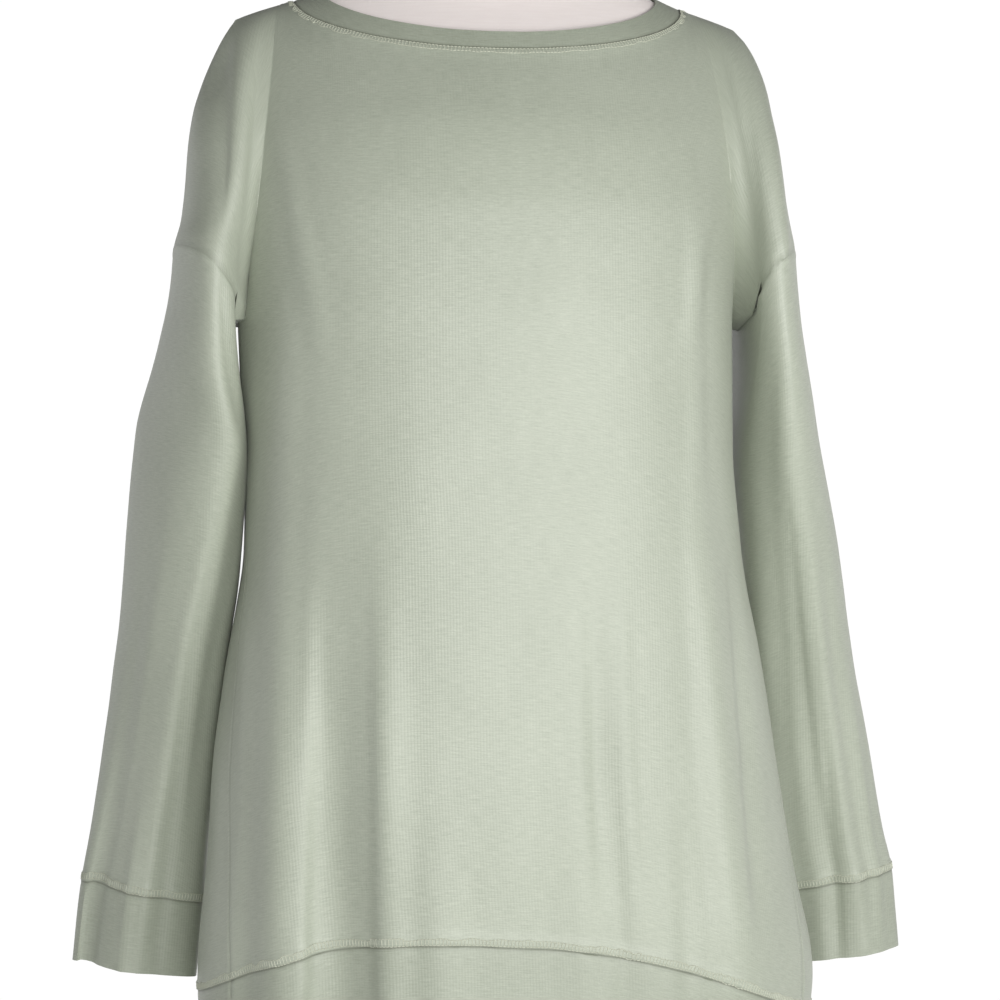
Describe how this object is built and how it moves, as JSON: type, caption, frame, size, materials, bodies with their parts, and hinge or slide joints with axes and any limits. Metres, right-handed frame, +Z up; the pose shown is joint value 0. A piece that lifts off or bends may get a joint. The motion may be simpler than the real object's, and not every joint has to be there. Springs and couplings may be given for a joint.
{
  "type": "long-sleeve t-shirt on a dress form",
  "caption": "Loose long-sleeve tunic t-shirt with dropped shoulders, wide neckband, deep cuffs and an arched hem band, on a limbless dress form with a round foot.",
  "frame": {"origin": "centre of the foot's underside, on the floor under the neck", "axes": "+Z up, -Y to the front of the garment, +X to the wearer's left"},
  "size_m": [0.6538, 0.34, 1.4912],
  "materials": {
    "jersey": "fine knit, soft sheen",
    "cover": "smooth woven cover, matt",
    "cap_wood": "satin",
    "steel": "satin"
  },
  "bodies": {
    "root": {"front": "jersey", "back": "jersey", "sleeve_left": "jersey", "cuff_left": "jersey", "sleeve_right": "jersey", "cuff_right": "jersey", "neckband": "jersey", "hem_band_front": "jersey", "hem_band_back": "jersey", "form_torso": "cover", "form_neck_cap": "cap_wood", "form_pole": "steel", "form_base": "steel"}
  },
  "joints": []
}
